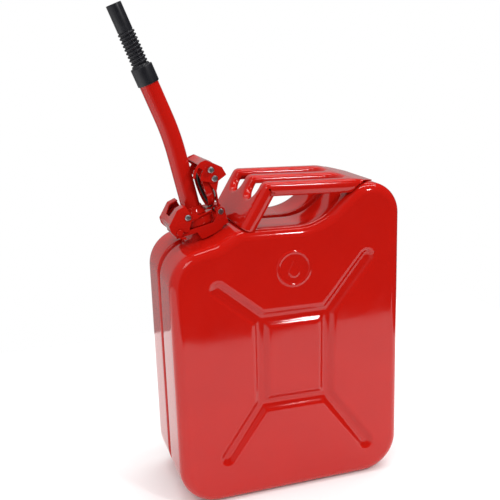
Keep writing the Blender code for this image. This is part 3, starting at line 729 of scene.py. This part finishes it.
class SafetyCanColours(bpy.types.PropertyGroup):
    enamel: FloatVectorProperty(name="Enamel", description="Main tone of the enamel",
                                subtype="COLOR", default=colour("BE170E"))
    enamel_deep: FloatVectorProperty(name="Enamel, deep",
                                     description="Deeper tone where the enamel is thicker",
                                     subtype="COLOR", default=colour("B4130B"))
    zinc: FloatVectorProperty(name="Zinc", description="Bright zinc plate", subtype="COLOR",
                              default=colour("BEC0C2"))
    zinc_dull: FloatVectorProperty(name="Zinc, dull", description="Zinc plate that has dulled",
                                   subtype="COLOR", default=colour("9A9DA0"))
    rubber: FloatVectorProperty(name="Rubber", description="Gasket rubber", subtype="COLOR",
                                default=colour("1A1A1A"))
    rubber_bloom: FloatVectorProperty(name="Rubber bloom", description="Dusty bloom on the rubber",
                                      subtype="COLOR", default=colour("262524"))
    plastic: FloatVectorProperty(name="Nozzle plastic", description="Flexible nozzle", subtype="COLOR",
                                 default=colour("16161B"))
    plastic_worn: FloatVectorProperty(name="Nozzle plastic, scuffed",
                                      description="Scuffed tone of the nozzle",
                                      subtype="COLOR", default=colour("212127"))
    paper: FloatVectorProperty(name="Paper", description="Floor", subtype="COLOR", default=colour("FBFBFB"))
    paper_shade: FloatVectorProperty(name="Paper, shade", description="Mottle of the floor", subtype="COLOR",
                                     default=colour("F8F8F8"))


# ---------------------------------------------------------------- operators

class SAFETYCAN_OT_shells(bpy.types.Operator):
    """Press both halves of the body with their star, emblem and seam lips"""
    bl_idname = "safety_can.shells"
    bl_label = "Body pressings"

    def execute(self, context):
        sizes = context.scene.safety_can_sizes
        near = near_pressing(sizes)
        far = near.copy()
        bmesh.ops.scale(far, vec=(1.0, -1.0, 1.0), verts=far.verts[:])
        bmesh.ops.reverse_faces(far, faces=far.faces[:])
        thickness = sizes.sheet / MM
        walled(piece(near, "near_pressing", "can", "red_enamel", ["near_shell"], 50.0), thickness)
        walled(piece(far, "far_pressing", "can", "red_enamel", ["far_shell"], 50.0), thickness)
        return {"FINISHED"}


class SAFETYCAN_OT_seam(bpy.types.Operator):
    """Lay the rounded weld bead at the bottom of the channel between the halves"""
    bl_idname = "safety_can.seam"
    bl_label = "Seam weld"

    def execute(self, context):
        line = divided(rounded(OUTLINE, 3.0), 14.0)
        section = [(1.9 * math.cos(math.radians(a)), SEAM_DEPTH - 0.2 - 2.0 * math.sin(math.radians(a)))
                   for a in range(0, 181, 20)]
        bm = bmesh.new()
        ring = None
        for y, inset in section:
            loop = [(x * MM, y * MM, z * MM) for x, z in offset(line, -inset)]
            ring = grow(bm, ring, loop) if ring else ring_of(bm, loop)
        ends = [e for e in bm.edges if e.is_boundary]
        bmesh.ops.bridge_loops(bm, edges=ends)
        outward(bm)
        piece(bm, "seam_bead", "can", "red_enamel", ["seam_weld"])
        return {"FINISHED"}


class SAFETYCAN_OT_handle(bpy.types.Operator):
    """Press and bend the carry handle with its two rolled slots"""
    bl_idname = "safety_can.handle"
    bl_label = "Carry handle"

    def execute(self, context):
        sizes = context.scene.safety_can_sizes
        made = piece(handle_sheet(sizes), "handle_pressing", "can", "red_enamel", ["carry_handle"], 50.0)
        walled(made, sizes.handle_sheet / MM)
        return {"FINISHED"}


class SAFETYCAN_OT_neck(bpy.types.Operator):
    """Form the filler neck, its bracket, the latch bar and the hinge pin"""
    bl_idname = "safety_can.neck"
    bl_label = "Neck and bracket"

    def execute(self, context):
        neck = rounded([(24.1, 0.0, 0.3), (25.9, 0.0, 0.9), (25.9, -3.0, 0.9), (25.0, -3.4, 0.2),
                        (25.0, -36.0, 0.0), (23.5, -36.0, 0.0), (23.5, -0.9, 0.3)], 12.0)
        piece(turned(neck, NECK), "neck_mouth", "can", "red_enamel", ["filler_neck"])
        piece(softened("closure_bracket", 0.5), "bracket_stamping", "can", "red_enamel", ["closure_bracket"])
        for node, radius, head, reach, slot, at in (
                ("latch_bar", 3.2, 4.6, 35.4, "red_enamel", LATCH_AT),
                ("hinge_pin", 2.6, 4.2, 31.4, "zinc_steel", HINGE_AT)):
            outer = reach + HEAD_HEIGHT
            half = [(0.0, outer, 0.0), (head, outer, 0.7), (head, reach, 0.2), (radius, reach, 0.1)]
            lower = [(r, -z, bend) for r, z, bend in reversed(half)]
            lie = (NECK @ Matrix.Translation(Vector((at[0], 0.0, at[1])) * MM)
                   @ Matrix.Rotation(math.radians(90.0), 4, "X"))
            bm = turned(rounded(half + lower, 15.0), lie, 40)
            piece(bm, f"{node}_turning", "can", slot, [node])
        return {"FINISHED"}


class SAFETYCAN_OT_closures(bpy.types.Operator):
    """Form the flip cap and the spout's clamp with their levers, gaskets and rivets"""
    bl_idname = "safety_can.closures"
    bl_label = "Cap and spout clamp"

    def execute(self, context):
        cap = [(0.0, 9.3, 0.0), (19.0, 9.3, 3.0), (24.5, 8.8, 4.0), (27.6, 6.0, 2.5), (27.6, -3.0, 0.6),
               (26.2, -3.0, 0.6), (26.2, 3.0, 0.6), (18.0, 3.0, 1.0), (17.0, 7.6, 1.5), (0.0, 7.6, 0.0)]
        spout = [(14.0, 21.0, 0.3), (15.4, 21.0, 0.6), (16.2, 17.0, 3.0), (19.6, 9.4, 4.0), (25.0, 8.8, 3.0),
                 (27.6, 6.4, 2.0), (27.6, -4.0, 0.6), (26.2, -4.0, 0.6), (26.2, 3.0, 0.6), (12.0, 3.0, 0.5),
                 (12.0, 4.5, 0.3), (13.8, 4.5, 0.1), (13.8, 20.8, 0.1)]
        gasket = [(18.5, 2.7, 0.8), (25.8, 2.7, 0.8), (25.8, 0.3, 0.8), (18.5, 0.3, 0.8)]
        piece(turned(rounded(cap, 12.0), CAP), "cap_drawing", "cap", "red_enamel", ["cap_cup"])
        piece(turned(rounded(spout, 12.0), NECK), "spout_drawing", "can", "red_enamel", ["spout_cup"])
        piece(turned(rounded(gasket, 20.0), CAP), "cap_seal", "cap", "nitrile_rubber", ["cap_gasket"])
        piece(turned(rounded(gasket, 20.0), NECK), "spout_seal", "can", "nitrile_rubber", ["spout_gasket"])
        for node, name, body in (("cap_carrier", "carrier_stamping", "cap"),
                                 ("cap_lever", "cap_lever_stamping", "cap_lever"),
                                 ("spout_clamp", "clamp_stamping", "can"),
                                 ("spout_lever", "spout_lever_stamping", "spout_lever")):
            piece(softened(node, 0.6), name, body, "red_enamel", [node])
        rivet = [(0.0, 8.2, 0.0), (3.2, 8.2, 1.6), (4.6, 6.9, 0.7), (4.6, 6.4, 0.1), (2.5, 6.4, 0.1),
                 (2.5, 0.0, 0.1), (0.0, 0.0, 0.0)]
        for place, body, start in ((CAP, "cap", "cap_rivet"), (NECK, "can", "spout_rivet")):
            for side, word in ((-1, "near"), (1, "far")):
                lie = (place @ Matrix.Translation(Vector((PIVOT_AT[0], 0.0, PIVOT_AT[1])) * MM)
                       @ Matrix.Rotation(math.radians(-90.0 * side), 4, "X")
                       @ Matrix.Translation((0.0, 0.0, RIVET_SEAT * MM)))
                node = f"{start}_{word}"
                piece(turned(rounded(rivet, 18.0), lie, 32), f"{node}_head", body, "zinc_steel", [node])
        pin = [(0.0, 7.0, 0.0), (3.2, 7.0, 0.8), (4.4, 5.8, 0.5), (4.4, 0.4, 0.3), (2.0, 0.0, 0.1),
               (2.0, -5.6, 0.2), (1.2, -6.4, 0.2), (0.0, -6.4, 0.0)]
        lie = (CAP @ Matrix.Translation(Vector((PIVOT_AT[0] - 15.0, LOCK_SEAT, PIVOT_AT[1] - 3.0)) * MM)
               @ Matrix.Rotation(math.radians(90.0), 4, "X"))
        piece(turned(rounded(pin, 18.0), lie, 32), "locking_pin_turning", "locking_pin", "zinc_steel",
              ["locking_pin"])
        return {"FINISHED"}


class SAFETYCAN_OT_spout(bpy.types.Operator):
    """Bend the spout tube"""
    bl_idname = "safety_can.spout"
    bl_label = "Spout tube"

    def execute(self, context):
        radius = context.scene.safety_can_sizes.tube_radius / MM
        made = piece(tube_skin(centre_line(), radius), "spout_pipe", "can", "red_enamel", ["spout_tube"])
        walled(made, SPOUT_WALL)
        return {"FINISHED"}


class SAFETYCAN_OT_nozzle(bpy.types.Operator):
    """Mould the nozzle: collar, corrugated length and tip"""
    bl_idname = "safety_can.nozzle"
    bl_label = "Flexible nozzle"

    def execute(self, context):
        collar = [(8.2, 28.0, 0.1), (12.0, 28.0, 0.6), (12.6, 25.4, 0.2), (15.3, 25.0, 1.2), (15.3, 0.0, 0.8),
                  (13.8, 0.0, 0.3), (13.8, 20.4, 0.1), (8.2, 21.5, 0.1)]
        piece(turned(rounded(collar, 14.0), NOZZLE), "nozzle_cuff", "can", "black_plastic", ["nozzle_collar"])
        ribs = 9
        low = 28.3
        high = 76.0
        neck = 2.3
        pitch = (high - neck - low) / ribs
        corners = [(8.2, high, 0.0), (9.9, high, 0.0)]
        for i in range(ribs):
            foot = high - neck - i * pitch
            corners += [(9.9, foot, 0.4), (11.9, foot - 0.24 * pitch, 0.9),
                        (11.9, foot - 0.58 * pitch, 0.9), (9.9, foot - 0.82 * pitch, 0.5)]
        corners += [(9.9, low, 0.0), (8.2, low, 0.0)]
        bellows = piece(turned(rounded(corners, 20.0), NOZZLE, 56), "nozzle_corrugation", None,
                        "black_plastic", ["nozzle_bellows"])
        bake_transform(bellows)
        # the tip's skirt hides the end of the corrugated length when the nozzle bends
        tip = [(8.4, 112.0, 0.3), (10.6, 112.0, 0.9), (10.6, 74.5, 0.25), (10.0, 74.5, 0.1),
               (10.0, 76.1, 0.1), (8.2, 76.1, 0.1), (8.2, 111.4, 0.1)]
        piece(turned(rounded(tip, 14.0), NOZZLE), "nozzle_mouthpiece", "nozzle_tip", "black_plastic",
              ["nozzle_tip"])
        return {"FINISHED"}


class SAFETYCAN_OT_inside(bpy.types.Operator):
    """Give the breather tube inside the can its zinc plate"""
    bl_idname = "safety_can.inside"
    bl_label = "Breather tube"

    def execute(self, context):
        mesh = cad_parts["breather_tube"].data
        mesh.materials.clear()
        mesh.materials.append(finish_for("zinc_steel"))
        return {"FINISHED"}


class SAFETYCAN_OT_studio(bpy.types.Operator):
    """Set the paper floor, soft lights, surroundings and camera"""
    bl_idname = "safety_can.studio"
    bl_label = "Studio"

    def execute(self, context):
        paper_floor(context.scene)
        surroundings(context.scene)
        soft_lights(context.scene)
        camera(context.scene)
        return {"FINISHED"}


class SAFETYCAN_PT_panel(bpy.types.Panel):
    """Lists the can's operators"""
    bl_label = "Safety Can"
    bl_idname = "SAFETYCAN_PT_panel"
    bl_space_type = "VIEW_3D"
    bl_region_type = "UI"
    bl_category = "Safety Can"

    def draw(self, context):
        for operator in OPERATORS:
            self.layout.operator(operator.bl_idname)
        for group in (context.scene.safety_can_sizes, context.scene.safety_can_colours):
            for key in group.__annotations__:
                self.layout.prop(group, key)


# ---------------------------------------------------------------- studio

AZIMUTH, ELEVATION, ROLL = -17.39, 14.69, -1.91
DISTANCE, LENS = 1.2212, 57.11
AIM_HEIGHT, AIM_RIGHT, AIM_UP = 0.230, -0.0316, 0.1199
# the floor in metres: half its length and depth, and where its right and front edges lie
FLOOR_HALF_LENGTH = 1.6
FLOOR_HALF_DEPTH = 0.7
FLOOR_RIGHT = 0.75
FLOOR_FRONT = 0.74
WHITE = (1.0, 1.0, 1.0, 1.0)


def camera(scene):
    """Camera that looks down on the broad near face from its front end."""
    a, e, roll = (math.radians(v) for v in (AZIMUTH, ELEVATION, ROLL))
    back = Vector((math.sin(a) * math.cos(e), -math.cos(a) * math.cos(e), math.sin(e)))
    right = Vector((math.cos(a), math.sin(a), 0.0))
    up = back.cross(right)
    aim = Vector((0.0, 0.0, AIM_HEIGHT)) + right * AIM_RIGHT + up * AIM_UP
    data = bpy.data.cameras.new("studio_camera")
    data.lens = LENS
    data.sensor_width = 36.0
    made = bpy.data.objects.new("studio_camera", data)
    side = right * math.cos(roll) + up * math.sin(roll)
    turn = Matrix((side, back.cross(side), back)).transposed().to_4x4()
    made.matrix_world = Matrix.Translation(aim + back * DISTANCE) @ turn
    scene.collection.objects.link(made)
    scene.camera = made


def paper_floor(scene):
    """Sheet of paper that ends just outside the picture, so that its edges give no horizon."""
    bm = bmesh.new()
    bmesh.ops.create_grid(bm, x_segments=8, y_segments=8, size=1.0)
    bmesh.ops.scale(bm, vec=(FLOOR_HALF_LENGTH, FLOOR_HALF_DEPTH, 1.0), verts=bm.verts[:])
    middle = (FLOOR_RIGHT - FLOOR_HALF_LENGTH, FLOOR_HALF_DEPTH - FLOOR_FRONT, 0.0)
    bmesh.ops.translate(bm, vec=middle, verts=bm.verts[:])
    mesh = bpy.data.meshes.new("paper_floor")
    bm.to_mesh(mesh)
    bm.free()
    mesh.materials.append(finish_for("paper"))
    floor = bpy.data.objects.new("paper_floor", mesh)
    scene.collection.objects.link(floor)


def surroundings(scene):
    """World by kind of ray: a dim room if glossy, a dome if diffuse, white for the camera."""
    world = bpy.data.worlds.new("photo_studio")
    scene.world = world
    world.use_nodes = True
    tree = world.node_tree
    tree.nodes.clear()
    way = add_node(tree, "ShaderNodeTexCoord").outputs["Generated"]
    parts = add_node(tree, "ShaderNodeSeparateXYZ", links={"Vector": way})
    # glossy paint sees a dim room with a lit wall at the back and a white flat on the left
    wall = add_node(tree, "ShaderNodeMapRange", {"interpolation_type": "SMOOTHSTEP", "From Min": 0.55,
                                                 "From Max": 0.95, "To Min": 0.03, "To Max": 0.42},
                    {"Value": parts.outputs["Y"]})
    minus = add_node(tree, "ShaderNodeMath", {"operation": "MULTIPLY", 1: -1.0}, {0: parts.outputs["X"]})
    flat = add_node(tree, "ShaderNodeMapRange", {"interpolation_type": "SMOOTHSTEP", "From Min": 0.25,
                                                 "From Max": 0.6, "To Min": 0.0, "To Max": 0.4},
                    {"Value": minus.outputs[0]})
    room = add_node(tree, "ShaderNodeMath", {"operation": "MAXIMUM"},
                    {0: wall.outputs["Result"], 1: flat.outputs["Result"]})
    seen = add_node(tree, "ShaderNodeLightPath")
    lit = add_node(tree, "ShaderNodeBackground", {"Color": WHITE}, {"Strength": room.outputs[0]})
    dome = add_node(tree, "ShaderNodeMapRange",
                    {"From Min": 0.0, "From Max": 1.0, "To Min": 0.45, "To Max": 1.4},
                    {"Value": parts.outputs["Z"]})
    soft = add_node(tree, "ShaderNodeBackground", {"Color": WHITE}, {"Strength": dome.outputs["Result"]})
    plain = add_node(tree, "ShaderNodeBackground", {"Color": WHITE, "Strength": 1.0})
    around = add_node(tree, "ShaderNodeMixShader", links={0: seen.outputs["Is Diffuse Ray"],
                                                          1: lit.outputs[0], 2: soft.outputs[0]})
    both = add_node(tree, "ShaderNodeMixShader", links={0: seen.outputs["Is Camera Ray"],
                                                        1: around.outputs[0], 2: plain.outputs[0]})
    add_node(tree, "ShaderNodeOutputWorld", links={"Surface": both.outputs[0]})
    scene.view_settings.view_transform = "Standard"


def soft_lights(scene):
    """Soft boxes: name, place, point aimed at, sides and power in watts."""
    for name, at, aim, sides, power in (
            ("key_box", (0.86, -1.60, 1.72), (0.0, 0.0, 0.25), (0.22, 0.26), 11.0),
            ("fill_box", (-1.3, -1.8, 1.9), (0.0, 0.0, 0.25), (0.8, 0.8), 8.0),
            ("top_strip", (0.45, -0.12, 2.1), (0.45, -0.119, 0.0), (2.0, 0.22), 11.0),
            ("rear_strip", (0.5, 1.0, 1.9), (0.1, 0.0, 0.4), (2.0, 0.16), 5.0)):
        data = bpy.data.lights.new(name, "AREA")
        data.energy = power
        data.shape = "RECTANGLE"
        data.size, data.size_y = sides
        made = bpy.data.objects.new(name, data)
        made.location = at
        made.rotation_euler = (Vector(aim) - Vector(at)).to_track_quat("-Z", "Y").to_euler()
        scene.collection.objects.link(made)


OPERATORS = (SAFETYCAN_OT_shells, SAFETYCAN_OT_seam, SAFETYCAN_OT_handle, SAFETYCAN_OT_neck,
             SAFETYCAN_OT_closures, SAFETYCAN_OT_spout, SAFETYCAN_OT_nozzle, SAFETYCAN_OT_inside,
             SAFETYCAN_OT_studio)
GROUPS = (SafetyCanSizes, SafetyCanColours)


def register():
    for kind in (*GROUPS, *OPERATORS, SAFETYCAN_PT_panel):
        bpy.utils.register_class(kind)
    bpy.types.Scene.safety_can_sizes = PointerProperty(type=SafetyCanSizes)
    bpy.types.Scene.safety_can_colours = PointerProperty(type=SafetyCanColours)


def unregister():
    del bpy.types.Scene.safety_can_sizes
    del bpy.types.Scene.safety_can_colours
    for kind in reversed((*GROUPS, *OPERATORS, SAFETYCAN_PT_panel)):
        bpy.utils.unregister_class(kind)


def main():
    register()
    for call in (bpy.ops.safety_can.shells, bpy.ops.safety_can.seam, bpy.ops.safety_can.handle,
                 bpy.ops.safety_can.neck, bpy.ops.safety_can.closures, bpy.ops.safety_can.spout,
                 bpy.ops.safety_can.nozzle, bpy.ops.safety_can.inside, bpy.ops.safety_can.studio):
        call()


if __name__ == "__main__":
    main()
